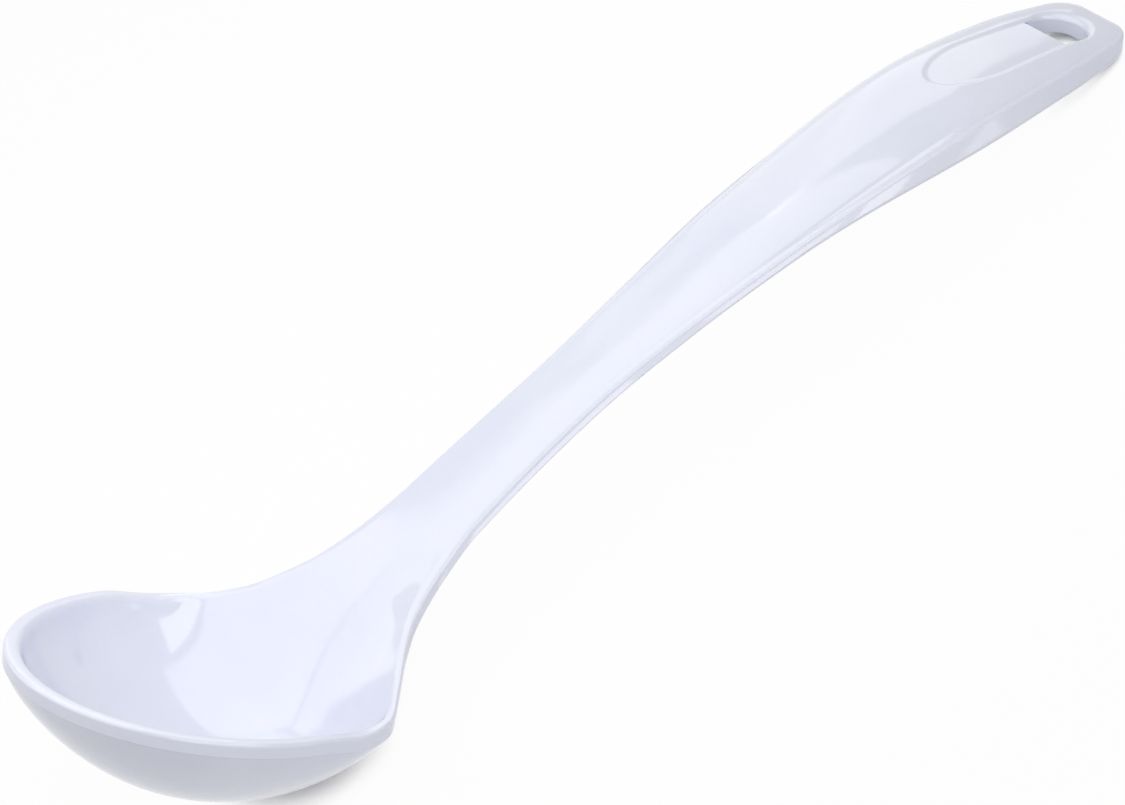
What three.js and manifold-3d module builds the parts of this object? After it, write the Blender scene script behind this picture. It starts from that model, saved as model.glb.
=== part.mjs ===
// A small sauce ladle, moulded in one piece from melamine: a round bowl with a banded rim,
// a neck that climbs out of the bowl, and a crowned grip with a hollow back and a hanging hole.
// Millimetres. It is drawn with the rim level at z = 0 and the bowl's axis on Z, the handle
// towards +X, and is then laid down on its bowl and the end of its handle.
import * as THREE from 'three';
import { mergeVertices } from 'three/addons/utils/BufferGeometryUtils.js';
import Module from 'manifold-3d';

// Bowl and rim
const bowlRadius = 40;
const bowlDepth = 25.1;
const bowlWall = 3;
const rimWidth = 3.4;
const rimBand = 3.2;
const bandLedge = 0.5;
const insideRoundness = 0.72;
const outsideRoundness = 0.81;
const shoulderRoundness = 0.95;

// The middle of the bowl's back wall leaves the bowl's round form at this angle from the handle's
// direction. A squareness of 2 is round across; the handle's top is flatter, with rolled edges.
const backWallAngle = 60;
const bowlSquareness = 2;

// Stations along the moulding. Reach is measured from the back of the bowl's rim, rise is the height
// of the edge over the rim, crown is how far the middle of the top stands over the edge, and
// thickness is the wall at the middle. Side is the height of the side wall, lip and ledge are the
// flat strips inside its top edge and its under edge, and the rounds are those of these edges.
// The outline leaves the bowl's circle at the saddle.
const saddle = { reach: -28, rise: -1.7, round: 0.9, underRound: 0.7 };
const hip = {
  reach: -21, width: 68.8, rise: -0.9,
  side: 3.2, lip: 2.8, ledge: 0.5, round: 0.9, underRound: 0.7,
};
const corner = {
  reach: -14, width: 54.4, rise: 2.9,
  side: 3.2, lip: 2.5, ledge: 0.5, round: 1.1, underRound: 0.7,
};
const crook = {
  reach: -9, width: 43.1, rise: 7.8,
  side: 3.2, lip: 2.2, ledge: 0.5, round: 1.3, underRound: 0.7,
};
const throat = {
  reach: -4, width: 34.3, rise: 12.8,
  side: 3.2, lip: 2, ledge: 0.5, round: 1.3, underRound: 0.7,
};
const wrist = {
  reach: 4, width: 26.6, rise: 20.4,
  side: 3.2, lip: 1.8, ledge: 0.5, round: 1.3, underRound: 0.7,
};
const shank = {
  reach: 12, width: 22.9, rise: 27.9, crown: 0.2, thickness: 6.4, squareness: 2.6,
  side: 3.1, lip: 1.7, ledge: 0.5, round: 1.3, underRound: 0.7,
};
const neck = {
  reach: 38, width: 20.6, rise: 49, crown: 0.5, thickness: 6, squareness: 3.2,
  side: 3.1, lip: 1.4, ledge: 0.9, round: 0.9, underRound: 0.8,
};
const forearm = {
  reach: 58, width: 23.3, rise: 63.7, crown: 0.9, thickness: 5.7, squareness: 3.4,
  side: 3.1, lip: 1.3, ledge: 1.4, round: 0.7, underRound: 1,
};
const belly = {
  reach: 80, width: 28.2, rise: 78.5, crown: 2.7, thickness: 5.4, squareness: 3.2,
  side: 3.1, lip: 1.2, ledge: 2, round: 0.5, underRound: 1.3,
};
const grip = {
  reach: 122, width: 33.8, rise: 102.2, crown: 4.4, thickness: 4.4, squareness: 3,
  side: 6.6, lip: 0.8, ledge: 3.2, round: 0.5, underRound: 1.6,
};
const heel = {
  reach: 143, width: 30.4, rise: 109.9, crown: 2.6, thickness: 3.8, squareness: 3,
  side: 5.6, lip: 0.8, ledge: 3.2, round: 0.5, underRound: 1.6,
};
const tip = {
  reach: 161, width: 21.8, rise: 114.9, crown: 0.9, thickness: 3.5, squareness: 3,
  side: 4.3, lip: 0.8, ledge: 3.2, round: 0.5, underRound: 1.5,
};
const spineStations = [shank, neck, forearm, belly, grip, heel, tip];
const outlineStations = [hip, corner, crook, throat, wrist, ...spineStations];
const stations = [saddle, ...outlineStations];
const tipCorner = 7.2;

// Hanging hole: straight across on the bowl's side, round towards the tip.
const holeWidth = 13.6;
const holeStraight = 3.5;
const holeRound = 5;
const endBar = 5.3;

// Shallow oval panel on top of the grip, running into the hole. Its cutter reaches a little below
// the top and clear above the crown.
const panelLength = 28.5;
const panelWidth = 16.6;
const panelHoleWidth = 14.4;
const panelRound = 13;
const panelDepth = 0.5;
const panelCutBelow = 2;
const panelCutAbove = 9;

// Facets
const topSteps = 9;
const underSteps = 8;
const fanRibs = 15;
const throatRibs = 22;
const neckRibs = 9;
const gripRibs = 6;
const endRibs = 6;
const tipRibs = 9;
const holeSegments = 16;
const slopeStep = 0.01;
const weld = 1e-4;

// The handle drops from level to at most this pitch, found by halving the range.
const steepestPitch = 60;
const pitchHalvings = 40;

const melamine = { color: 0xe6e9f4, roughness: 0.16, metalness: 0 };

const stationX = (station) => bowlRadius + station.reach;
const shoulderX = stationX(saddle);
const backWallX = bowlRadius * Math.cos(THREE.MathUtils.degToRad(backWallAngle));
const tipX = stationX(tip);
const holeX = tipX - endBar - holeRound - holeStraight;
const fanX = holeX + holeStraight;
const insideRadius = bowlRadius - rimWidth;
const outsideRadius = bowlRadius - bandLedge;

// A smooth line through points that never swings past them.
function smoothThrough(points, startSlope) {
  const secant = (a, b) => (b.value - a.value) / (b.x - a.x);
  const slopes = points.map((point, i) => {
    if (i === 0) {
      return startSlope;
    }
    const before = secant(points[i - 1], point);
    if (i === points.length - 1) {
      return before;
    }
    const after = secant(point, points[i + 1]);
    return before * after > 0 ? (2 * before * after) / (before + after) : 0;
  });
  return (x) => {
    const last = points.length - 1;
    let i = points.findIndex((point) => x < point.x) - 1;
    if (i === -1) {
      return points[0].value;
    }
    if (i < 0) {
      i = last - 1;
    }
    const width = points[i + 1].x - points[i].x;
    const u = (x - points[i].x) / width;
    const ease = u * u * (3 - 2 * u);
    const leave = u * (1 - u) * (1 - u) * width * slopes[i];
    const arrive = u * u * (u - 1) * width * slopes[i + 1];
    return points[i].value * (1 - ease) + points[i + 1].value * ease + leave + arrive;
  };
}

function alongHandle(valueOf, list, start, startSlope = 0) {
  const points = list.map((station) => ({ x: stationX(station), value: valueOf(station) }));
  return smoothThrough([start, ...points], startSlope);
}

// The bowl's two surfaces, as depth at a distance from its axis.
const dome = (u, squareness, roundness) => Math.max(0, 1 - u ** squareness) ** roundness;
const bowlDome = (r, radius, roundness) => dome(Math.abs(r) / radius, bowlSquareness, roundness);
const bowlInside = (r) => (bowlWall - bowlDepth) * bowlDome(r, insideRadius, insideRoundness);
const bowlOutside = (r) =>
  -rimBand + (rimBand - bowlDepth) * bowlDome(r, outsideRadius, outsideRoundness);
const slopeAt = (line, x) => (line(x + slopeStep) - line(x - slopeStep)) / (2 * slopeStep);

// Plan outline, edge height and wall sizes along X.
const circle = (radius, x) => Math.sqrt(radius * radius - x * x);
const rimStrip = (radius, x) => circle(bowlRadius, x) - circle(radius, x);
const shoulder = (value) => ({ x: shoulderX, value });
const handleHalf = alongHandle(
  (station) => station.width / 2,
  outlineStations,
  shoulder(circle(bowlRadius, shoulderX)),
  -shoulderX / circle(bowlRadius, shoulderX),
);
const lipStart = shoulder(rimStrip(insideRadius, shoulderX));
const lipLine = alongHandle((s) => s.lip, outlineStations, lipStart);
const ledgeStart = shoulder(rimStrip(outsideRadius, shoulderX));
const ledgeLine = alongHandle((s) => s.ledge, outlineStations, ledgeStart);
const rise = alongHandle((s) => s.rise, stations, { x: 0, value: 0 });
const side = alongHandle((s) => s.side, outlineStations, shoulder(rimBand));
const round = alongHandle((s) => s.round, outlineStations, shoulder(saddle.round));
const underRound = alongHandle((s) => s.underRound, outlineStations, shoulder(saddle.underRound));
const half = (x) => (x < shoulderX ? circle(bowlRadius, x) : handleHalf(x));
const lip = (x) => (x < shoulderX ? rimStrip(insideRadius, x) : lipLine(x));
const ledge = (x) => (x < shoulderX ? rimStrip(outsideRadius, x) : ledgeLine(x));
const foot = (x) => rise(x) - side(x);

// The wall under the rim gets slimmer from the bowl's middle to its shoulders.
const underRoundness = (x) => {
  const share = THREE.MathUtils.smoothstep(x, 0, stationX(hip));
  return THREE.MathUtils.lerp(outsideRoundness, shoulderRoundness, share);
};

// The middle of the top runs from the bowl's floor up its back wall and on along the handle.
const handleTop = alongHandle(
  (s) => s.rise + s.crown,
  spineStations,
  { x: backWallX, value: bowlInside(backWallX) },
  slopeAt(bowlInside, backWallX),
);
const spineTop = (x) => (x < backWallX ? bowlInside(x) : handleTop(x));
const squareness = alongHandle(
  (s) => s.squareness,
  spineStations,
  { x: backWallX, value: bowlSquareness },
);
const wallDrop = (s) => s.thickness * Math.hypot(1, slopeAt(handleTop, stationX(s)));
const handleUnder = alongHandle(
  (s) => s.rise + s.crown - wallDrop(s),
  spineStations,
  { x: backWallX, value: bowlOutside(backWallX) },
  slopeAt(bowlOutside, backWallX),
);
const spineUnder = (x) => (x < backWallX ? bowlOutside(x) : handleUnder(x));

// One rib of the moulding: from the middle of the top, out to the edge, round it and back below.
// The rib runs in plan from its root on the X axis towards its point on the outline. The ribs of
// the bowl's front, rooted on the bowl's axis, are all alike.
function rib(root, outline) {
  const reach = outline.distanceTo(root);
  const direction = outline.clone().sub(root).divideScalar(reach);
  const bowlRib = root.x <= 0;
  const topReach = reach - (bowlRib ? rimWidth : lip(outline.x));
  const underReach = reach - (bowlRib ? bandLedge : ledge(outline.x));
  const place = (s, heightAt) => {
    const x = root.x + direction.x * s;
    return new THREE.Vector3(x, direction.y * s, heightAt(bowlRib ? 0 : x));
  };
  const points = [];
  for (let i = 0; i <= topSteps; i += 1) {
    const u = Math.sin((i / topSteps) * Math.PI * 0.5);
    const bulge = dome(u, squareness(outline.x), insideRoundness);
    points.push(place(u * topReach, (x) => rise(x) + (spineTop(x) - rise(x)) * bulge));
  }
  const arcShare = 1 - Math.SQRT1_2;
  const top = round(outline.x);
  points.push(place(reach - top, rise));
  points.push(place(reach - top * arcShare, (x) => rise(x) - top * arcShare));
  points.push(place(reach, (x) => rise(x) - top));
  const below = underRound(outline.x);
  points.push(place(reach, (x) => foot(x) + below));
  points.push(place(reach - below * arcShare, (x) => foot(x) + below * arcShare));
  points.push(place(reach - below, foot));
  for (let i = underSteps; i >= 0; i -= 1) {
    const u = Math.sin((i / underSteps) * Math.PI * 0.5);
    const bulge = dome(u, bowlSquareness, underRoundness(outline.x));
    points.push(place(u * underReach, (x) => foot(x) + (spineUnder(x) - foot(x)) * bulge));
  }
  return points;
}

// A rib and its mirror image make one closed ring around the moulding.
function ring(root, outline) {
  const near = rib(root, outline);
  const far = near.slice(1, -1).reverse();
  return [...near, ...far.map((point) => new THREE.Vector3(point.x, -point.y, point.z))];
}

const crossRing = (x) => ring(new THREE.Vector2(x, 0), new THREE.Vector2(x, half(x)));

// Front half of the bowl: ribs fan out from the bowl's axis, from the lip round to the side.
function bowlFan() {
  return Array.from({ length: fanRibs }, (_, i) => {
    const angle = Math.PI * (1 - (0.5 * i) / fanRibs);
    const outline = new THREE.Vector2(Math.cos(angle), Math.sin(angle)).multiplyScalar(bowlRadius);
    return ring(new THREE.Vector2(0, 0), outline);
  });
}

// Square ribs between two places on the handle, both ends included.
function crossRings(from, to, count) {
  return Array.from({ length: count + 1 }, (_, i) => crossRing(from + ((to - from) * i) / count));
}

// Rounded end of the handle: ribs fan out from inside the hanging hole, round one corner to the tip.
function tipFan() {
  const lean = Math.atan(-slopeAt(half, tipX - tipCorner));
  const startX = tipX - tipCorner * (1 - Math.sin(lean));
  const centre = new THREE.Vector2(tipX - tipCorner, half(startX) - tipCorner * Math.cos(lean));
  const outline = new THREE.Path();
  outline.moveTo(fanX, half(fanX));
  outline.lineTo(startX, half(startX));
  outline.absarc(centre.x, centre.y, tipCorner, Math.PI / 2 - lean, 0, true);
  outline.lineTo(tipX, 0);
  const root = new THREE.Vector2(fanX, 0);
  return outline.getSpacedPoints(tipRibs).slice(1).map((point) => ring(root, point));
}

// Skin from ring to ring, with flat ends where a piece meets its neighbour.
function skin(rings, { startCap, endCap }) {
  const triangles = [];
  const count = rings[0].length;
  for (let r = 0; r + 1 < rings.length; r += 1) {
    for (let i = 0; i < count; i += 1) {
      const next = (i + 1) % count;
      const [a, b, c, d] = [rings[r][i], rings[r][next], rings[r + 1][next], rings[r + 1][i]];
      triangles.push(a, c, b, a, d, c);
    }
  }
  const cap = (points, flip) => {
    const contour = points.map((point) => new THREE.Vector2(point.y, point.z));
    THREE.ShapeUtils.triangulateShape(contour, []).forEach(([a, b, c]) => {
      const corners = [points[a], points[flip ? c : b], points[flip ? b : c]];
      triangles.push(...corners);
    });
  };
  if (startCap) {
    cap(rings[0], true);
  }
  if (endCap) {
    cap(rings[rings.length - 1], false);
  }
  return closedGeometry(triangles);
}

// Welds shared corners and drops the triangles that collapse where ribs meet in a point.
function closedGeometry(corners) {
  const welded = mergeVertices(new THREE.BufferGeometry().setFromPoints(corners), weld);
  const index = welded.getIndex().array;
  const kept = [];
  for (let i = 0; i < index.length; i += 3) {
    const [a, b, c] = [index[i], index[i + 1], index[i + 2]];
    if (a !== b && b !== c && a !== c) {
      kept.push(a, b, c);
    }
  }
  welded.setIndex(kept);
  return welded;
}

const wasm = await Module();
wasm.setup();

function toSolid(geometry) {
  const bare = geometry.clone();
  bare.deleteAttribute('normal');
  bare.deleteAttribute('uv');
  const merged = mergeVertices(bare, weld);
  const mesh = new wasm.Mesh({
    numProp: 3,
    vertProperties: Float32Array.from(merged.getAttribute('position').array),
    triVerts: Uint32Array.from(merged.getIndex().array),
  });
  return new wasm.Manifold(mesh);
}

function fromSolid(solid) {
  const mesh = solid.getMesh();
  const geometry = new THREE.BufferGeometry();
  geometry.setAttribute('position', new THREE.BufferAttribute(mesh.vertProperties, 3));
  geometry.setIndex(new THREE.BufferAttribute(mesh.triVerts, 1));
  return geometry;
}

// A prism of a plan outline, standing square to the handle's top at the hole.
function prismAtHole(shape, below, above) {
  const geometry = new THREE.ExtrudeGeometry(shape, {
    depth: above + below,
    bevelEnabled: false,
    curveSegments: holeSegments,
  });
  geometry.translate(0, 0, -below);
  geometry.rotateY(-Math.atan(slopeAt(spineTop, holeX)));
  geometry.translate(holeX, 0, spineTop(holeX));
  return toSolid(geometry);
}

function holeShape() {
  const shape = new THREE.Shape();
  shape.moveTo(0, -holeWidth / 2);
  shape.lineTo(holeStraight, -holeWidth / 2);
  shape.absellipse(holeStraight, 0, holeRound, holeWidth / 2, -Math.PI / 2, Math.PI / 2, false);
  shape.lineTo(0, holeWidth / 2);
  return shape;
}

function panelShape() {
  const roundX = panelRound - panelLength;
  const shape = new THREE.Shape();
  shape.moveTo(holeStraight, -panelHoleWidth / 2);
  shape.lineTo(holeStraight, panelHoleWidth / 2);
  shape.lineTo(0, panelHoleWidth / 2);
  shape.absellipse(roundX, 0, panelRound, panelWidth / 2, Math.PI / 2, (Math.PI * 3) / 2, false);
  shape.lineTo(0, -panelHoleWidth / 2);
  return shape;
}

const neckStart = stationX(shank);
const gripStart = stationX(belly);
const endStart = holeX - panelLength - grip.lip - panelDepth;

function bowlGeometry() {
  const rings = [...bowlFan(), ...crossRings(0, neckStart, throatRibs)];
  return skin(rings, { startCap: false, endCap: true });
}

function neckGeometry() {
  return skin(crossRings(neckStart, gripStart, neckRibs), { startCap: true, endCap: true });
}

function gripGeometry() {
  return skin(crossRings(gripStart, endStart, gripRibs), { startCap: true, endCap: true });
}

// The end of the handle, with the hole cut through and the panel sunk into the crowned top, so that
// the panel's floor follows the crown.
function hangingEndGeometry() {
  const rings = [...crossRings(endStart, fanX, endRibs), ...tipFan()];
  const blank = toSolid(skin(rings, { startCap: true, endCap: false }));
  const sunk = blank.translate([0, 0, -panelDepth]);
  const panel = prismAtHole(panelShape(), panelCutBelow, panelCutAbove).subtract(sunk);
  const hole = prismAtHole(holeShape(), bowlRadius, bowlRadius);
  return fromSolid(blank.subtract(panel).subtract(hole));
}

function pieceMesh(name, geometry) {
  geometry.computeVertexNormals();
  const mesh = new THREE.Mesh(geometry, new THREE.MeshStandardMaterial(melamine));
  mesh.name = name;
  return mesh;
}

const bowl = pieceMesh('bowl', bowlGeometry());
const hangingEnd = pieceMesh('hanging_end', hangingEndGeometry());

const ladle = new THREE.Group();
ladle.add(bowl);
ladle.add(pieceMesh('neck', neckGeometry()));
ladle.add(pieceMesh('grip', gripGeometry()));
ladle.add(hangingEnd);

// Laid down: the handle drops until its end and the bowl touch the table together.
function boxOf(object, pitch) {
  ladle.rotation.y = pitch;
  ladle.updateMatrixWorld(true);
  return new THREE.Box3().setFromObject(object, true);
}

function restPitch() {
  let low = 0;
  let high = THREE.MathUtils.degToRad(steepestPitch);
  for (let i = 0; i < pitchHalvings; i += 1) {
    const pitch = (low + high) / 2;
    if (boxOf(hangingEnd, pitch).min.z > boxOf(bowl, pitch).min.z) {
      low = pitch;
    } else {
      high = pitch;
    }
  }
  return low;
}

const box = boxOf(ladle, restPitch());
ladle.position.set(-(box.min.x + box.max.x) / 2, 0, -box.min.z);

export default ladle;
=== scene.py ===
import math

import bpy
from mathutils import Matrix, Vector


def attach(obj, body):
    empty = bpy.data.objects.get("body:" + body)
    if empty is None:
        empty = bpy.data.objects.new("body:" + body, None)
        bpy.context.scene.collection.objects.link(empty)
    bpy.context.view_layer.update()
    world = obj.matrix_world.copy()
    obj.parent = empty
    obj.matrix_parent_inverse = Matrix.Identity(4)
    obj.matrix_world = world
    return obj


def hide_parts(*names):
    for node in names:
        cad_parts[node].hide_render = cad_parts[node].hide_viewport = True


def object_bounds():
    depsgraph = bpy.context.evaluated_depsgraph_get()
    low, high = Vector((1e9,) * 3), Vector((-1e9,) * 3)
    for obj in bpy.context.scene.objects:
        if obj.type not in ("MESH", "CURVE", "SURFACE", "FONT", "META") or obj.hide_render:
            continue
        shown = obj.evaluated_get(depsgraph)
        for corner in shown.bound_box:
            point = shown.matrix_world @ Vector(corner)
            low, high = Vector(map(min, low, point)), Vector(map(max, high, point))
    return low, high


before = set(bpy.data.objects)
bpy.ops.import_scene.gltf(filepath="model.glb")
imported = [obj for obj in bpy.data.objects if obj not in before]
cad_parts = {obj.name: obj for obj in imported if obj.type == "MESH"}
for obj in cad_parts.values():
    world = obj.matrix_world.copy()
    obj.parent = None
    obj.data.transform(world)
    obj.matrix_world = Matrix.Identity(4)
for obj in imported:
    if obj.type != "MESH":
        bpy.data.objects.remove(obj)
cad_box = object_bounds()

# Bowl
# A shallow round bowl with a flat rim and a band round the outside of it, of white melamine,
# pressed in one piece with the handle. The rim fades out at the back, where the floor runs up into
# the neck. Sizes are millimetres: rim level at z = 0, the bowl's axis on Z, the handle towards +X.
bowl_radius = 40.0
bowl_depth = 25.1
bowl_wall = 3.0
rim_width = 3.4
rim_band = 3.2
band_ledge = 0.3
inside_roundness = 0.72
outside_roundness = 0.81
shoulder_roundness = 0.95
bowl_squareness = 2.0
inside_radius = bowl_radius - rim_width
outside_radius = bowl_radius - band_ledge
# The middle of the floor leaves the bowl's round form at the back wall.
back_wall_angle = 60
back_wall_x = bowl_radius * math.cos(math.radians(back_wall_angle))

# Sections along the moulding. The bowl's back runs on through them into the handle.
# reach: distance behind the rim; width and rise: width of the outline and height of its edge.
# side and draft: height of the side wall, and how far its foot stands out.
# lip and roll: width of the lip along the edge, and how much its inner side is raised.
# ledge: step from the side wall to the underside; round and under: rounds of the two edges.
# crown: height of the middle over the edge; thickness: of the wall in the middle.
# squareness and softness: how the top falls from its middle to the lip.
saddle = dict(reach=-28, rise=-1.2, round=0.9, under=0.3)
hip = dict(reach=-21, width=69.6, rise=-0.8, side=3.2, lip=2.5, ledge=0.3, round=0.9, under=0.3,
           roll=0, draft=0, softness=0.87)
corner = dict(reach=-14, width=54.4, rise=2.8, side=3.2, lip=2.5, ledge=0.3, round=1.1, under=0.3,
              roll=0.05, draft=0.1, softness=1.1)
crook = dict(reach=-9, width=42.5, rise=7.8, side=3.1, lip=2.4, ledge=0.4, round=1.4, under=0.4,
             roll=0.1, draft=0.2, softness=1.15)
throat = dict(reach=-4, width=33.7, rise=12.8, side=3, lip=2.3, ledge=0.5, round=1.6, under=0.5,
              roll=0.14, draft=0.4, softness=1.25, crown=-3.1)
wrist = dict(reach=4, width=26.6, rise=20.4, side=2.9, lip=2.3, ledge=0.6, round=1.6, under=0.6,
             roll=0.14, draft=0.5, softness=1.25, crown=-0.15)
shank = dict(reach=12, width=22.9, rise=27.9, side=2.8, lip=2.2, ledge=0.7, round=1.5, under=0.7,
             roll=0.12, draft=0.6, softness=1, crown=0.2, thickness=6.8, squareness=2.6)
neck = dict(reach=38, width=20.6, rise=49, side=2.6, lip=1.8, ledge=0.9, round=1.2, under=0.8,
            roll=0.05, draft=0.8, softness=0.8, crown=0.5, thickness=6, squareness=3.2)
forearm = dict(reach=58, width=23.3, rise=63.7, side=2.5, lip=1.6, ledge=1.4, round=1.1, under=1,
               roll=0, draft=0.9, softness=0.72, crown=0.9, thickness=5.7, squareness=3.4)
belly = dict(reach=80, width=28.2, rise=78.5, side=2.4, lip=1.4, ledge=2, round=0.9, under=1.3,
             roll=0, draft=1.1, softness=0.72, crown=2.6, thickness=5.4, squareness=3.2)
grip = dict(reach=122, width=33.8, rise=102.2, side=5.4, lip=1.2, ledge=3.2, round=0.8, under=1.6,
            roll=0, draft=1.5, softness=0.72, crown=3.6, thickness=4.4, squareness=3)
heel = dict(reach=143, width=30.4, rise=109.9, side=4.9, lip=1.2, ledge=3.2, round=0.8, under=1.6,
            roll=0, draft=1, softness=0.72, crown=1.8, thickness=3.8, squareness=3)
tip = dict(reach=161, width=21.8, rise=114.9, side=4.3, lip=1.2, ledge=3.2, round=0.8, under=1.5,
           roll=0, draft=0, softness=0.72, crown=0.5, thickness=3.5, squareness=3)
spine_stations = [shank, neck, forearm, belly, grip, heel, tip]
outline_stations = [hip, corner, crook, throat, wrist] + spine_stations


def smooth_through(points, start_slope):
    """A smooth line through points that swings past none of them."""
    def secant(a, b):
        return (b[1] - a[1]) / (b[0] - a[0])

    slopes = [start_slope]
    for before, here, after in zip(points, points[1:], points[2:]):
        coming, going = secant(before, here), secant(here, after)
        slopes.append(2 * coming * going / (coming + going) if coming * going > 0 else 0.0)
    slopes.append(secant(points[-2], points[-1]))

    def line(x):
        if x < points[0][0]:
            return points[0][1]
        i = max(k for k in range(len(points) - 1) if x >= points[k][0])
        (x0, v0), (x1, v1) = points[i], points[i + 1]
        u = (x - x0) / (x1 - x0)
        ease = u * u * (3 - 2 * u)
        leave = u * (1 - u) ** 2 * (x1 - x0) * slopes[i]
        arrive = u * u * (u - 1) * (x1 - x0) * slopes[i + 1]
        return v0 * (1 - ease) + v1 * ease + leave + arrive

    return line


def station_x(station):
    return bowl_radius + station["reach"]


def along_handle(value_of, chosen, start, start_slope=0.0):
    points = [start] + [(station_x(s), value_of(s)) for s in chosen]
    return smooth_through(points, start_slope)


def slope_at(line, x):
    step = 0.01
    return (line(x + step) - line(x - step)) / (2 * step)


def circle(radius, x):
    return math.sqrt(max(0.0, radius * radius - x * x))


def dome(u, squareness, roundness):
    """1 in the middle, falling to 0 at a share of 1."""
    return max(0.0, 1 - abs(u) ** squareness) ** roundness


def eased(t):
    """0 to 1 with soft ends."""
    t = min(1.0, max(0.0, t))
    return t * t * (3 - 2 * t)


def bowl_inside(r):
    return (bowl_wall - bowl_depth) * dome(r / inside_radius, bowl_squareness, inside_roundness)


def bowl_outside(r):
    share = dome(r / outside_radius, bowl_squareness, outside_roundness)
    return (rim_band - bowl_depth) * share - rim_band


def rim_strip(radius, x):
    return circle(bowl_radius, x) - circle(radius, x)


# The outline leaves the bowl's circle at the saddle, and the sizes of the edge start there too.
shoulder_x = station_x(saddle)
rim_at_shoulder = circle(bowl_radius, shoulder_x)
handle_half = along_handle(lambda s: s["width"] / 2, outline_stations,
                           (shoulder_x, rim_at_shoulder), -shoulder_x / rim_at_shoulder)
edge_rise = along_handle(lambda s: s["rise"], [saddle] + outline_stations, (0.0, 0.0))


def edge_size(name, at_shoulder):
    return along_handle(lambda s: s[name], outline_stations, (shoulder_x, at_shoulder))


handle_lip = edge_size("lip", rim_strip(inside_radius, shoulder_x))
handle_ledge = edge_size("ledge", rim_strip(outside_radius, shoulder_x))
side_height = edge_size("side", rim_band)
upper_round = edge_size("round", saddle["round"])
lower_round = edge_size("under", saddle["under"])
lip_roll = edge_size("roll", 0.0)
side_draft = edge_size("draft", 0.0)
top_softness = edge_size("softness", inside_roundness)
handle_top = along_handle(lambda s: s["rise"] + s["crown"], [throat, wrist] + spine_stations,
                          (back_wall_x, bowl_inside(back_wall_x)),
                          slope_at(bowl_inside, back_wall_x))
top_squareness = along_handle(lambda s: s["squareness"], spine_stations,
                              (back_wall_x, bowl_squareness))


def under_middle(station):
    """Height of the underside's middle, with the wall measured square to the handle."""
    wall_drop = station["thickness"] * math.hypot(1, slope_at(handle_top, station_x(station)))
    return station["rise"] + station["crown"] - wall_drop


handle_under = along_handle(under_middle, spine_stations,
                            (back_wall_x, bowl_outside(back_wall_x)),
                            slope_at(bowl_outside, back_wall_x))


def half_width(x):
    return circle(bowl_radius, x) if x < shoulder_x else handle_half(x)


def lip_width(x):
    return rim_strip(inside_radius, x) if x < shoulder_x else handle_lip(x)


def ledge_width(x):
    return rim_strip(outside_radius, x) if x < shoulder_x else handle_ledge(x)


def spine_top(x):
    return bowl_inside(x) if x < back_wall_x else handle_top(x)


def spine_under(x):
    return bowl_outside(x) if x < back_wall_x else handle_under(x)


def foot_of_side(x):
    return edge_rise(x) - side_height(x)


def under_roundness(x):
    """The wall under the rim gets slimmer from the bowl's middle to its shoulders."""
    share = eased(x / station_x(hip))
    return outside_roundness + (shoulder_roundness - outside_roundness) * share


# Half a section of the moulding, from the middle of the top round its edge to the middle below.
# The inside wall ends a share of the lip's width before the lip, and bends softly into it.
face_steps = 44
round_steps = 5
wall_gap = 0.15
bend_run = 0.25


def soft_corner(start, control, end):
    points = []
    for k in range(1, round_steps + 1):
        t = k / (round_steps + 1)
        points.append(tuple((1 - t) ** 2 * a + 2 * t * (1 - t) * b + t * t * c
                            for a, b, c in zip(start, control, end)))
    return points


def section_edge(root_x, outline):
    """Sizes of a rib that runs in plan from its root to its point on the outline."""
    reach = math.hypot(outline[0] - root_x, outline[1])
    way = ((outline[0] - root_x) / reach, outline[1] / reach)
    if root_x <= 0:
        lip, ledge = rim_width, band_ledge
    else:
        lip, ledge = lip_width(outline[0]), ledge_width(outline[0])
    return reach, way, lip, ledge


def edge_strip(root_x, outline):
    """The rib's points from the rim's soft inner corner, over the edge and down to the ledge."""
    reach, way, lip, ledge = section_edge(root_x, outline)
    inner, under = reach - lip, reach - ledge
    roll, foot = lip_roll(outline[0]), reach + side_draft(outline[0])
    square, softness = top_squareness(outline[0]), top_softness(outline[0])

    def at(s, height, drop=0.0):
        x = root_x + way[0] * s
        return (x, way[1] * s, height(x if root_x > 0 else 0.0) - drop)

    def on_lip(s, drop=0.0):
        return at(s, edge_rise, drop - roll * min(1.0, (reach - s) / lip))

    u = 1 - wall_gap * lip / inner
    bend = inner * u + (1 - u ** square) * inner / (square * softness * u ** (square - 1))
    bend_end = on_lip(bend + bend_run * lip)

    def wall_height(x):
        level = edge_rise(x) + roll
        return level + (spine_top(x) - edge_rise(x) - roll) * dome(u, square, softness)

    points = soft_corner(at(inner * u, wall_height), on_lip(bend), bend_end)
    points.append(bend_end)
    high, low = upper_round(outline[0]), lower_round(outline[0])
    turns = [math.pi / 2 * k / round_steps for k in range(round_steps + 1)]
    for turn in turns:
        points.append(on_lip(reach - high + high * math.sin(turn), high - high * math.cos(turn)))
    for turn in turns:
        points.append(at(foot - low + low * math.cos(turn), foot_of_side,
                         low * math.sin(turn) - low))
    points.append(at(0.5 * (foot - low + under), foot_of_side))
    return points


def face_places(root_x, outline):
    """Distances along the rib of the points of its top and of its underside, closer at the edge."""
    reach, _, lip, ledge = section_edge(root_x, outline)
    inner, under = reach - lip, reach - ledge
    shares = [0.5 * k / face_steps + 0.5 * math.sin(math.pi / 2 * k / face_steps)
              for k in range(face_steps + 1)]
    return ([s * (inner - wall_gap * lip) for s in shares], [s * under for s in shares])


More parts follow.
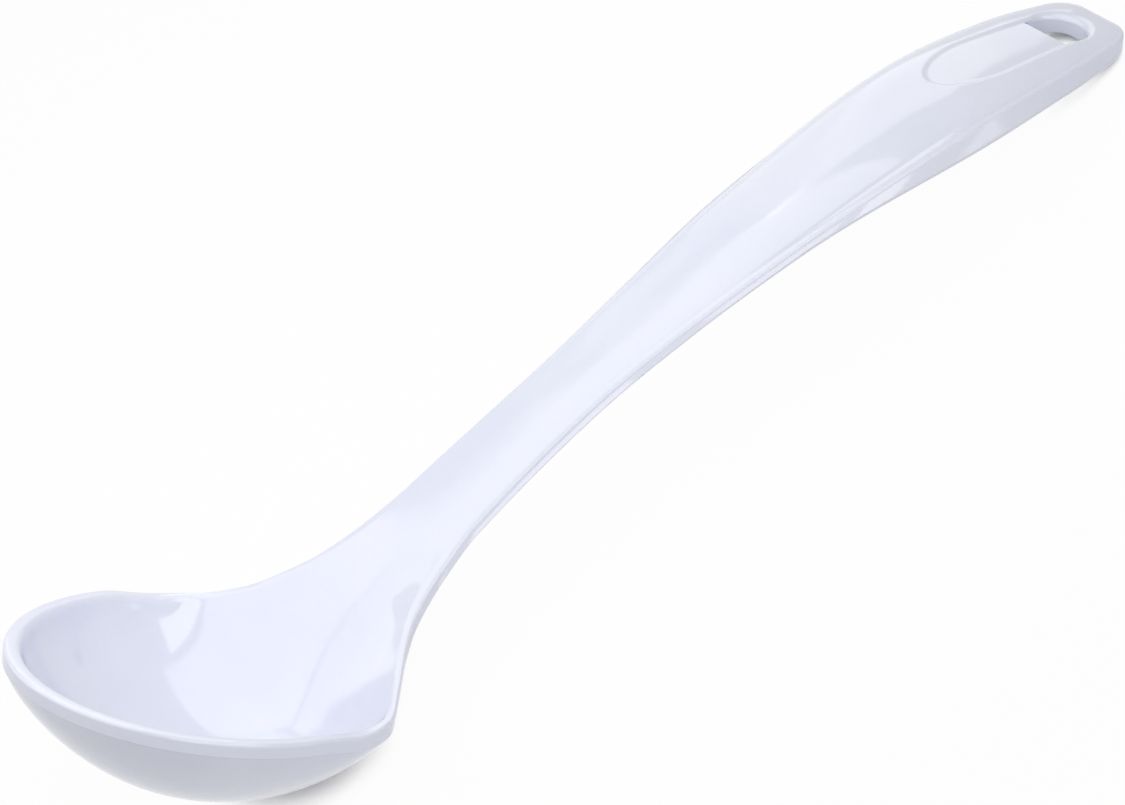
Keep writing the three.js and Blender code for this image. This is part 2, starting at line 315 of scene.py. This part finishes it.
def half_rib(root_x, outline, top_height, under_height):
    way = section_edge(root_x, outline)[1]
    tops, unders = face_places(root_x, outline)

    def at(s, height):
        x, y = root_x + way[0] * s, way[1] * s
        return (x, y, height(x, y, s))

    points = [at(s, top_height) for s in tops]
    points += edge_strip(root_x, outline)
    points += [at(s, under_height) for s in reversed(unders)]
    return points


def bowl_rib(root_x, outline):
    reach, _, lip, ledge = section_edge(root_x, outline)
    field_x = max(0.0, root_x)

    def top_height(x, y, s):
        level = edge_rise(field_x) + lip_roll(field_x)
        low = spine_top(field_x) - level
        form = (top_squareness(field_x), top_softness(field_x))
        return level + low * dome(s / (reach - lip), *form)

    def under_height(x, y, s):
        level = foot_of_side(field_x)
        low = spine_under(field_x) - level
        form = (bowl_squareness, under_roundness(field_x))
        return level + low * dome(s / (reach - ledge), *form)

    return half_rib(root_x, outline, top_height, under_height)


def whole_ring(half):
    return half + [(x, -y, z) for x, y, z in reversed(half[1:-1])]


def cross_ring(x):
    return whole_ring(bowl_rib(x, (x, half_width(x))))


# Ribs stand this far from a joint between two zones on either side, so that their shading agrees.
joint_step = 1.0


def rib_places(start, end, count):
    first, last = start + joint_step, end - joint_step
    return [start] + [first + (last - first) * k / count for k in range(count + 1)] + [end]


def ring_faces(ring_count, size):
    faces = []
    for r in range(ring_count - 1):
        for i in range(size):
            a = r * size + i
            b = r * size + (i + 1) % size
            faces.append((a, a + size, b + size, b))
    return faces


def face_normal(places, face):
    a, b, c, d = [places[k] for k in (list(face) + [face[-1]])[:4]]
    return (c - a).cross(d - b)


def weld(points, faces):
    """Faces on the first of the points that share a place, without those that collapse."""
    digits = 4
    first_at = {}
    same = [first_at.setdefault(tuple(round(c, digits) for c in p), k)
            for k, p in enumerate(points)]
    kept = []
    for face in faces:
        corners = list(dict.fromkeys(same[k] for k in face))
        if len(corners) > 2:
            kept.append(corners)
    return kept


# Laid down, the bowl and the end of the handle touch the table together. The pitch at which they
# do is found by halving its range.
halvings = 40
floor_samples = 400
metres_per_millimetre = 0.001
tip_x = station_x(tip)
tip_round = lower_round(tip_x)
tip_round_x = tip_x - tip_round
tip_round_z = foot_of_side(tip_round_x) + tip_round
flattest, steepest = 0.0, math.pi / 3
for _ in range(halvings):
    pitch = (flattest + steepest) / 2
    bowl_low = min(-x * math.sin(pitch) + spine_under(x) * math.cos(pitch)
                   for x in [bowl_radius * k / floor_samples for k in range(floor_samples)])
    tip_low = -tip_round_x * math.sin(pitch) + tip_round_z * math.cos(pitch) - tip_round
    flattest, steepest = (pitch, steepest) if tip_low > bowl_low else (flattest, pitch)
band_round = saddle["under"]
front_lip_x = ((band_round - bowl_radius) * math.cos(pitch)
               + (band_round - rim_band) * math.sin(pitch) - band_round)
lay_down = (Matrix.Translation((cad_box[0][0], 0, 0)) @ Matrix.Scale(metres_per_millimetre, 4)
            @ Matrix.Translation((-front_lip_x, 0, -bowl_low)) @ Matrix.Rotation(pitch, 4, "Y"))


def edge_share(agreement, lean):
    """1 on an outer edge, where the faces round a point turn away from each other, 0 on a flat."""
    flat_turn, full_turn = 0.002, 0.01
    if lean > 0:
        return 0.0
    return min(1.0, max(0.0, (1 - agreement - flat_turn) / full_turn))


def moulded_piece(name, points, faces, guide_faces, caps):
    """A zone of the moulding: skin shaded with its neighbours' ribs, and flat ends at joints."""
    faces, guide_faces, caps = [weld(points, group) for group in (faces, guide_faces, caps)]
    places = [lay_down @ Vector(p) for p in points]
    normals = [Vector() for _ in places]
    turns = [Vector() for _ in places]
    touching = [0] * len(places)
    leans = [0.0] * len(places)
    for face in faces + guide_faces:
        across = face_normal(places, face)
        for k in face:
            normals[k] += across
            turns[k] += across.normalized()
            touching[k] += 1
    for face in faces + guide_faces:
        middle = sum((places[k] for k in face), Vector()) / len(face)
        for k in face:
            leans[k] += (middle - places[k]).dot(normals[k])
    used = sorted({k for face in faces for k in face})
    number = {k: i for i, k in enumerate(used)}
    mesh = bpy.data.meshes.new(name)
    mesh.from_pydata([places[k] for k in used], [],
                     [[number[k] for k in face] for face in faces + caps])
    mesh.polygons.foreach_set("use_smooth", [True] * len(faces) + [False] * len(caps))
    corners = []
    for polygon in mesh.polygons:
        for k in polygon.vertices:
            smooth = normals[used[k]].normalized()
            corners.append(smooth if polygon.use_smooth else polygon.normal.copy())
    mesh.normals_split_custom_set(corners)
    rubbed = mesh.attributes.new("edge", "FLOAT", "POINT")
    rubbed.data.foreach_set("value", [edge_share(turns[k].length / touching[k], leans[k])
                                      for k in used])
    piece = bpy.data.objects.new(name, mesh)
    bpy.context.scene.collection.objects.link(piece)
    return piece


def zone_from_rings(name, rings, before, after):
    """Joins rings of one size; before and after are neighbours' rings that guide the shading."""
    size = len(rings[0])
    stack = ([before] if before else []) + rings + ([after] if after else [])
    points = [p for ring in stack for p in ring]
    faces = ring_faces(len(stack), size)
    first = size if before else 0
    last = len(faces) - (size if after else 0)
    caps = []
    if before:
        caps.append([size + i for i in range(size)])
    if after:
        caps.append([(len(stack) - 2) * size + i for i in reversed(range(size))])
    return moulded_piece(name, points, faces[first:last], faces[:first] + faces[last:], caps)


# The front half fans out from the bowl's axis; its ribs meet in the middle of the floor.
fan_ribs = 48
back_ribs = 56
neck_start = station_x(shank)
bowl_rings = []
for k in range(fan_ribs):
    angle = math.pi * (1 - 0.5 * k / fan_ribs)
    on_rim = (bowl_radius * math.cos(angle), bowl_radius * math.sin(angle))
    bowl_rings.append(whole_ring(bowl_rib(0.0, on_rim)))
bowl_rings += [cross_ring(x) for x in rib_places(0.0, neck_start, back_ribs)]
bowl = zone_from_rings("ladle_bowl", bowl_rings, None, cross_ring(neck_start + joint_step))

# The finish runs over the whole ladle: white with a faint cool tint, polished by the mould, with
# slightly uneven colour and gloss, a few specks, dulled edges and scuffs where the bowl stands.
# Sizes of the finish are metres.
cool_white, pale_white = (0.705, 0.730, 0.850), (0.735, 0.755, 0.865)
powder_shade = (0.685, 0.710, 0.825)
rubbed_shade = (0.70, 0.71, 0.77)
scuffed_shade = (0.56, 0.58, 0.64)
speck_shade = (0.38, 0.38, 0.42)
polish_low, polish_high = 0.07, 0.12
rubbed_roughness, scuffed_roughness = 0.20, 0.38
speck_cell = 0.005
melamine = bpy.data.materials.new("melamine")
melamine.use_nodes = True
nodes, links = melamine.node_tree.nodes, melamine.node_tree.links
skin = nodes["Principled BSDF"]
skin.inputs["IOR"].default_value = 1.75
place = nodes.new("ShaderNodeTexCoord").outputs["Object"]


def clouds(size, detail, roughness, stretch=(1, 1, 1)):
    """Soft noise with patches of about the given size."""
    scaled = nodes.new("ShaderNodeMapping")
    scaled.inputs["Scale"].default_value = stretch
    links.new(place, scaled.inputs["Vector"])
    noise = nodes.new("ShaderNodeTexNoise")
    noise.inputs["Scale"].default_value = 1 / size
    noise.inputs["Detail"].default_value = detail
    noise.inputs["Roughness"].default_value = roughness
    links.new(scaled.outputs["Vector"], noise.inputs["Vector"])
    return noise.outputs["Fac"]


def between(value, low, high, start=0.0, end=1.0):
    """Carries a value from low..high over to start..end with soft ends."""
    change = nodes.new("ShaderNodeMapRange")
    change.interpolation_type = "SMOOTHSTEP"
    change.inputs["From Min"].default_value = low
    change.inputs["From Max"].default_value = high
    change.inputs["To Min"].default_value = start
    change.inputs["To Max"].default_value = end
    links.new(value, change.inputs["Value"])
    return change.outputs["Result"]


def up_to(most, value):
    return between(value, 0.0, 1.0, 0.0, most)


def combined(operation, a, b):
    maths = nodes.new("ShaderNodeMath")
    maths.operation = operation
    links.new(a, maths.inputs[0])
    links.new(b, maths.inputs[1])
    return maths.outputs[0]


def tinted(share, colour_below, colour):
    """Lays a colour over the one below it by a share."""
    mix = nodes.new("ShaderNodeMix")
    mix.data_type = "RGBA"
    links.new(share, mix.inputs["Factor"])
    if isinstance(colour_below, tuple):
        mix.inputs["A"].default_value = (*colour_below, 1)
    else:
        links.new(colour_below, mix.inputs["A"])
    mix.inputs["B"].default_value = (*colour, 1)
    return mix.outputs["Result"]


def embossed(height, strength, depth, below=None, sunk=False):
    """Relief of a depth, on top of the relief below it."""
    relief = nodes.new("ShaderNodeBump")
    relief.invert = sunk
    relief.inputs["Strength"].default_value = strength
    relief.inputs["Distance"].default_value = depth
    links.new(height, relief.inputs["Height"])
    if below is not None:
        links.new(below, relief.inputs["Normal"])
    return relief.outputs["Normal"]


# Specks are small grains of darker powder, one in about thirty cells.
grains = nodes.new("ShaderNodeTexVoronoi")
grains.inputs["Scale"].default_value = 1 / speck_cell
links.new(place, grains.inputs["Vector"])
grain_pick = nodes.new("ShaderNodeSeparateColor")
links.new(grains.outputs["Color"], grain_pick.inputs["Color"])
chosen_grain = between(grain_pick.outputs["Red"], low=0.965, high=0.975)
grain_spot = between(grains.outputs["Distance"], low=0.045, high=0.075, start=1.0, end=0.0)
speck = combined("MULTIPLY", chosen_grain, grain_spot)

# Edges that rub in the drawer are duller; the place that the bowl stands on is scuffed.
edge = nodes.new("ShaderNodeAttribute")
edge.attribute_name = "edge"
rub = between(clouds(size=0.004, detail=4, roughness=0.7), low=0.42, high=0.62)
worn = combined("MULTIPLY", edge.outputs["Fac"], rub)
above_table = nodes.new("ShaderNodeSeparateXYZ")
links.new(place, above_table.inputs["Vector"])
facing = nodes.new("ShaderNodeSeparateXYZ")
links.new(nodes.new("ShaderNodeNewGeometry").outputs["Normal"], facing.inputs["Vector"])
near_table = between(above_table.outputs["Z"], low=0.002, high=0.013, start=1.0, end=0.0)
facing_down = between(facing.outputs["Z"], low=-0.5, high=-0.1, start=1.0, end=0.0)
standing = combined("MULTIPLY", near_table, facing_down)
scratch = between(clouds(size=0.0035, detail=5, roughness=0.75, stretch=(0.35, 1, 1)),
                  low=0.56, high=0.68)
scuff = combined("MULTIPLY", standing, scratch)

mottle = between(clouds(size=0.03, detail=3, roughness=0.55), low=0.35, high=0.65)
powder = between(clouds(size=0.0012, detail=2, roughness=0.6), low=0.45, high=0.75, end=0.25)
colour = tinted(mottle, cool_white, pale_white)
colour = tinted(powder, colour, powder_shade)
colour = tinted(up_to(0.35, worn), colour, rubbed_shade)
colour = tinted(up_to(0.5, scuff), colour, scuffed_shade)
colour = tinted(up_to(0.8, speck), colour, speck_shade)
links.new(colour, skin.inputs["Base Color"])

gloss = between(clouds(size=0.018, detail=4, roughness=0.6), low=0.3, high=0.7,
                start=polish_low, end=polish_high)
dull = combined("MAXIMUM", up_to(rubbed_roughness, worn), up_to(scuffed_roughness, scuff))
links.new(combined("MAXIMUM", gloss, dull), skin.inputs["Roughness"])

# The polished skin is faintly wavy, with a very fine grain on it and a pit at each speck.
wavy = embossed(clouds(size=0.012, detail=1, roughness=0.4), strength=0.25, depth=0.0002)
grainy = embossed(clouds(size=0.0006, detail=2, roughness=0.5), strength=0.12, depth=0.00005,
                  below=wavy)
pitted = embossed(speck, strength=0.5, depth=0.00008, below=grainy, sunk=True)
links.new(pitted, skin.inputs["Normal"])

bowl.data.materials.append(melamine)
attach(bowl, "root")
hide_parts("bowl")

# Neck
# The narrow rising shank between bowl and grip, of the same melamine, flat on top with rolled
# edges. It comes out of the mould in one with the bowl, and the two zones meet face to face.
neck_ribs = 36
grip_start = station_x(belly)
neck_rings = [cross_ring(x) for x in rib_places(neck_start, grip_start, neck_ribs)]
neck_piece = zone_from_rings("ladle_neck", neck_rings, cross_ring(neck_start - joint_step),
                             cross_ring(grip_start + joint_step))
neck_piece.data.materials.append(melamine)
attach(neck_piece, "root")
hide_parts("neck")

# Grip
# The wide part of the handle that the hand holds, of melamine, pressed in one with the neck. Its
# top is crowned and its back hollow, so that the wall stays even. It ends before the panel.
grip_ribs = 24
hole_straight, hole_round, end_bar = 3.5, 5.0, 5.3
panel_length, panel_depth = 28.5, 0.4
hole_x = tip_x - end_bar - hole_round - hole_straight
end_start = hole_x - panel_length - grip["lip"] - panel_depth
grip_rings = [cross_ring(x) for x in rib_places(grip_start, end_start, grip_ribs)]
grip_piece = zone_from_rings("ladle_grip", grip_rings, cross_ring(grip_start - joint_step),
                             cross_ring(end_start + joint_step))
grip_piece.data.materials.append(melamine)
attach(grip_piece, "root")
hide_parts("grip")

# Hanging end
# The end of the handle, in one with the grip, with a shallow bare panel sunk in its top. A pin in
# the mould leaves the hole for a hook: straight on the bowl's side and round towards the tip.
hole_width = 13.6
panel_width, panel_hole_width, panel_round = 16.6, 14.4, 13.0
panel_edge = 1.3
tip_corner = 7.2
fan_x = hole_x + hole_straight
tilt = math.atan(slope_at(spine_top, hole_x))


def panel_share(x, y):
    """How far a place on the top lies inside the sunk panel, from 0 outside to 1 on its floor."""
    along = (x - hole_x) / math.cos(tilt)
    round_x = panel_round - panel_length
    if along < round_x:
        a, b = (along - round_x) / panel_round, y / (panel_width / 2)
        ring = math.hypot(a, b)
        steep = math.hypot(a / panel_round, b / (panel_width / 2))
        inside = (1 - ring) * ring / max(steep, 1e-6)
    else:
        share = min(1.0, (along - round_x) / -round_x)
        half = panel_width / 2 + (panel_hole_width - panel_width) / 2 * share
        inside = half - abs(y)
    inside = min(inside, hole_straight - along)
    return eased(inside / panel_edge + 0.5)


lean = math.atan(-slope_at(half_width, tip_x - tip_corner))
corner_start = tip_x - tip_corner * (1 - math.sin(lean))
corner_centre = (tip_x - tip_corner, half_width(corner_start) - tip_corner * math.cos(lean))


def tip_outline(angle):
    """Point of the tip's outline in a direction from the middle of the hole's round."""
    well_outside = 60.0
    way = (math.cos(angle), math.sin(angle))
    near, far = 0.0, well_outside
    for _ in range(halvings):
        s = (near + far) / 2
        x, y = fan_x + way[0] * s, way[1] * s
        if x > tip_x:
            inside = False
        elif x > corner_start and y > corner_centre[1]:
            inside = math.hypot(x - corner_centre[0], y - corner_centre[1]) < tip_corner
        else:
            inside = y < half_width(x)
        near, far = (s, far) if inside else (near, s)
    return (fan_x + way[0] * near, way[1] * near)


def end_share(x, y, strip_width):
    """Share of the way from the middle to the strip along the edge."""
    if x <= fan_x:
        return abs(y) / (half_width(x) - strip_width(x))
    outline = tip_outline(math.atan2(abs(y), x - fan_x))
    reach = math.hypot(outline[0] - fan_x, outline[1])
    return math.hypot(x - fan_x, y) / (reach - strip_width(outline[0]))


def end_top(x, y, s=0):
    crown = spine_top(x) - edge_rise(x)
    share = dome(end_share(x, y, lip_width), top_squareness(x), top_softness(x))
    return edge_rise(x) + crown * share - panel_depth * panel_share(x, y)


def end_under(x, y, s=0):
    hollow = spine_under(x) - foot_of_side(x)
    share = dome(end_share(x, y, ledge_width), bowl_squareness, shoulder_roundness)
    return foot_of_side(x) + hollow * share


def end_rib(root_x, outline):
    return half_rib(root_x, outline, end_top, end_under)


def in_hole(x, y, shift):
    along = (x - shift - hole_x) / math.cos(tilt)
    if along < hole_straight:
        return along > 0 and abs(y) < hole_width / 2
    return math.hypot((along - hole_straight) / hole_round, y / (hole_width / 2)) < 1


def hole_edge(outer, shift):
    """Point of the hole's outline on the way from its middle to a point outside."""
    middle_x = fan_x + shift
    near, far = 0.0, 1.0
    for _ in range(halvings):
        t = (near + far) / 2
        x = middle_x + (outer[0] - middle_x) * t
        near, far = (t, far) if in_hole(x, outer[1] * t, shift) else (near, t)
    return (middle_x + (outer[0] - middle_x) * near, outer[1] * near)


# Square ribs run up to a little before the hole.
end_ribs = 76
last_rib_gap = 3.0
last_rib_x = hole_x - last_rib_gap
end_rings = [cross_ring(end_start - joint_step)]
end_rings += [whole_ring(end_rib(x, (x, half_width(x))))
              for x in rib_places(end_start, last_rib_x, end_ribs)]
ring_size = len(end_rings[0])
points = [p for ring in end_rings for p in ring]
faces = ring_faces(len(end_rings), ring_size)
last_ring = (len(end_rings) - 1) * ring_size
strip_size = len(edge_strip(last_rib_x, (last_rib_x, half_width(last_rib_x))))
under_first = face_steps + 1 + strip_size


def near_side(i):
    return last_ring + i


def far_side(i):
    return last_ring + (ring_size - i) % ring_size


def add_points(new):
    points.extend(new)
    return list(range(len(points) - len(new), len(points)))


# Rays round the hole: along both sides and round the tip they end at the edge of the moulding,
# and on the bowl's side they end at the last rib.
side_rays = 10
tip_rays = 36
outline_ways = [(last_rib_x + (fan_x - last_rib_x) * k / side_rays, None)
                for k in range(1, side_rays)]
outline_ways += [(None, math.pi / 2 * (1 - k / tip_rays)) for k in range(tip_rays + 1)]
top_outer = [near_side(face_steps)]
under_outer = [near_side(under_first)]
strips = [[near_side(face_steps + 1 + k) for k in range(strip_size)]]
rows = []
for x, angle in outline_ways:
    root_x, outline = (x, (x, half_width(x))) if angle is None else (fan_x, tip_outline(angle))
    rib = end_rib(root_x, outline)
    rows.append((rib[face_steps], rib[face_steps + 1:under_first], rib[under_first]))
rows += [((t[0], -t[1], t[2]), [(x, -y, z) for x, y, z in strip], (u[0], -u[1], u[2]))
         for t, strip, u in reversed(rows[:-1])]
for top_point, strip, under_point in rows:
    top_outer += add_points([top_point])
    strips.append(add_points(strip))
    under_outer += add_points([under_point])
top_outer.append(far_side(face_steps))
under_outer.append(far_side(under_first))
strips.append([far_side(face_steps + 1 + k) for k in range(strip_size)])
for i in range(len(strips) - 1):
    left = [top_outer[i]] + strips[i] + [under_outer[i]]
    right = [top_outer[i + 1]] + strips[i + 1] + [under_outer[i + 1]]
    for k in range(len(left) - 1):
        faces.append((left[k], right[k], right[k + 1], left[k + 1]))
top_outer += [far_side(k) for k in range(face_steps - 1, 0, -1)]
top_outer += [near_side(k) for k in range(face_steps)]
under_outer += [far_side(under_first + k) for k in range(1, face_steps + 1)]
under_outer += [near_side(under_first + k) for k in range(face_steps - 1, 0, -1)]

# The hole's upper edge is well rounded towards the tip and nearly sharp towards the bowl.
ray_steps = 14
lower_edge = 0.4
upper_edge_sharp, upper_edge_gain = 0.35, 1.15
rounding_start, rounding_run = 0.5, 4.0


def hole_rays(outer, height, shift, rounding, side):
    rays = []
    for k in outer:
        end = points[k]
        start = hole_edge(end, shift)
        length = math.hypot(end[0] - start[0], end[1] - start[1])
        way = ((end[0] - start[0]) / length, (end[1] - start[1]) / length)
        radius = rounding(start[0])
        spots = []
        for j in range(round_steps + 1):
            turn = math.pi / 2 * j / round_steps
            spots.append((radius * (1 - math.cos(turn)), radius * (1 - math.sin(turn))))
        spots += [(radius + (length - radius) * j / ray_steps, 0.0) for j in range(1, ray_steps)]
        new = []
        for s, drop in spots:
            x, y = start[0] + way[0] * s, start[1] + way[1] * s
            new.append((x, y, height(x, y) - side * drop))
        rays.append(add_points(new) + [k])
    return rays


def upper_hole_round(x):
    return upper_edge_sharp + upper_edge_gain * eased((x - hole_x - rounding_start) / rounding_run)


wall = end_top(hole_x, 0) - end_under(hole_x, 0)
top_rays = hole_rays(top_outer, end_top, 0.0, upper_hole_round, 1)
under_rays = hole_rays(under_outer, end_under, wall * math.sin(tilt) * math.cos(tilt),
                       lambda x: lower_edge, -1)
ray_count = len(top_rays)
for i in range(ray_count):
    j = (i + 1) % ray_count
    for k in range(len(top_rays[0]) - 1):
        faces.append((top_rays[i][k], top_rays[j][k], top_rays[j][k + 1], top_rays[i][k + 1]))
        faces.append((under_rays[i][k], under_rays[i][k + 1],
                      under_rays[j][k + 1], under_rays[j][k]))
    faces.append((top_rays[i][0], under_rays[i][0], under_rays[j][0], top_rays[j][0]))
hanging_end = moulded_piece("ladle_hanging_end", points, faces[ring_size:], faces[:ring_size],
                            [[ring_size + i for i in range(ring_size)]])
hanging_end.data.materials.append(melamine)
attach(hanging_end, "root")
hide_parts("hanging_end")

# Table
# A plain sheet of white paper that the ladle lies on, on its bowl and on the handle's end.
# It shows as white, and keeps a soft shadow where the ladle comes close to it. Sizes are metres.
table_half = 6.0
paper_white = (0.78, 0.78, 0.78, 1)
shadow_reach = 0.012
table_mesh = bpy.data.meshes.new("table")
table_mesh.from_pydata([(-table_half, -table_half, 0), (table_half, -table_half, 0),
                        (table_half, table_half, 0), (-table_half, table_half, 0)],
                       [], [(0, 1, 2, 3)])
table = bpy.data.objects.new("table", table_mesh)
bpy.context.scene.collection.objects.link(table)


def seen_directly(tree):
    """1 for rays from the camera, from gloss and through glass, 0 for rays that light the ladle."""
    path = tree.nodes.new("ShaderNodeLightPath")
    seen = path.outputs["Is Camera Ray"]
    for ray in ("Is Glossy Ray", "Is Transmission Ray"):
        either = tree.nodes.new("ShaderNodeMath")
        either.operation = "MAXIMUM"
        tree.links.new(seen, either.inputs[0])
        tree.links.new(path.outputs[ray], either.inputs[1])
        seen = either.outputs[0]
    return seen


paper = bpy.data.materials.new("white paper")
paper.use_nodes = True
nodes, links = paper.node_tree.nodes, paper.node_tree.links
nodes.clear()
sheet = nodes.new("ShaderNodeBsdfDiffuse")
sheet.inputs["Color"].default_value = paper_white
glow = nodes.new("ShaderNodeEmission")
glow.inputs["Strength"].default_value = 1.0
openness = nodes.new("ShaderNodeAmbientOcclusion")
openness.inputs["Distance"].default_value = shadow_reach
open_share = between(openness.outputs["AO"], low=0.1, high=0.42, end=0.96)
glow_share = combined("MULTIPLY", seen_directly(paper.node_tree), open_share)
mix = nodes.new("ShaderNodeMixShader")
links.new(glow_share, mix.inputs[0])
links.new(sheet.outputs[0], mix.inputs[1])
links.new(glow.outputs[0], mix.inputs[2])
output = nodes.new("ShaderNodeOutputMaterial")
links.new(mix.outputs[0], output.inputs["Surface"])
table_mesh.materials.append(paper)

# Light
# A softbox hangs close over the bowl and a larger one in front of it. A low panel in front and
# four standing panels behind give the long soft reflections, and the pale room fills the shadows.
room_fill = 0.375
room = bpy.data.worlds.new("pale room")
bpy.context.scene.world = room
room.use_nodes = True
nodes, links = room.node_tree.nodes, room.node_tree.links
nodes.clear()
fill = nodes.new("ShaderNodeBackground")
fill.inputs["Color"].default_value = (1, 1, 1, 1)
fill.inputs["Strength"].default_value = room_fill
white = nodes.new("ShaderNodeBackground")
white.inputs["Color"].default_value = (1, 1, 1, 1)
white.inputs["Strength"].default_value = 1.0
mix = nodes.new("ShaderNodeMixShader")
links.new(seen_directly(room.node_tree), mix.inputs[0])
links.new(fill.outputs[0], mix.inputs[1])
links.new(white.outputs[0], mix.inputs[2])
output = nodes.new("ShaderNodeOutputWorld")
links.new(mix.outputs[0], output.inputs["Surface"])


def softbox(name, middle, towards, width, height, watts_per_area):
    lamp_data = bpy.data.lights.new(name, "AREA")
    lamp_data.shape = "RECTANGLE"
    lamp_data.size = width
    lamp_data.size_y = height
    lamp_data.energy = watts_per_area * width * height
    lamp = bpy.data.objects.new(name, lamp_data)
    lamp.location = middle
    lamp.rotation_euler = Vector(towards).to_track_quat("-Z", "Y").to_euler()
    bpy.context.scene.collection.objects.link(lamp)


# Place of the middle, facing, width and height in metres, and watts for each square metre.
down, forward, back = (0, 0, -1), (0, -1, 0), (0, 1, 0)
softbox("overhead softbox", (-0.0475, 0.0785, 0.20), down, 0.405, 0.247, 3.3)
softbox("front softbox", (0.015, -0.675, 0.70), down, 1.07, 0.65, 5.7)
softbox("low front panel", (0.10, -1.50, 0.18), back, 1.80, 0.34, 3.5)
softbox("left back panel", (-0.58, 1.25, 0.34), forward, 0.76, 0.64, 2.6)
softbox("upper left back panel", (-0.445, 1.25, 0.89), forward, 1.03, 0.46, 2.6)
softbox("middle back panel", (0.53, 1.25, 0.54), forward, 0.26, 1.02, 1.3)
softbox("right back panel", (0.98, 1.25, 0.615), forward, 0.64, 1.17, 2.5)

# Camera
# A long lens looks down on the ladle from in front, on the bowl's side. The camera is rolled, so
# that the handle rises to the upper right of the picture.
camera_data = bpy.data.cameras.new("camera")
camera_data.sensor_fit = "HORIZONTAL"
camera_data.sensor_width = 36
camera_data.lens = 355.587
camera = bpy.data.objects.new("camera", camera_data)
camera.location = (-0.60535, -1.60132, 1.36723)
camera.rotation_euler = [math.radians(a) for a in (48.1768, 21.7839, -38.8187)]
bpy.context.scene.collection.objects.link(camera)
bpy.context.scene.camera = camera
bpy.context.scene.view_settings.view_transform = "Standard"
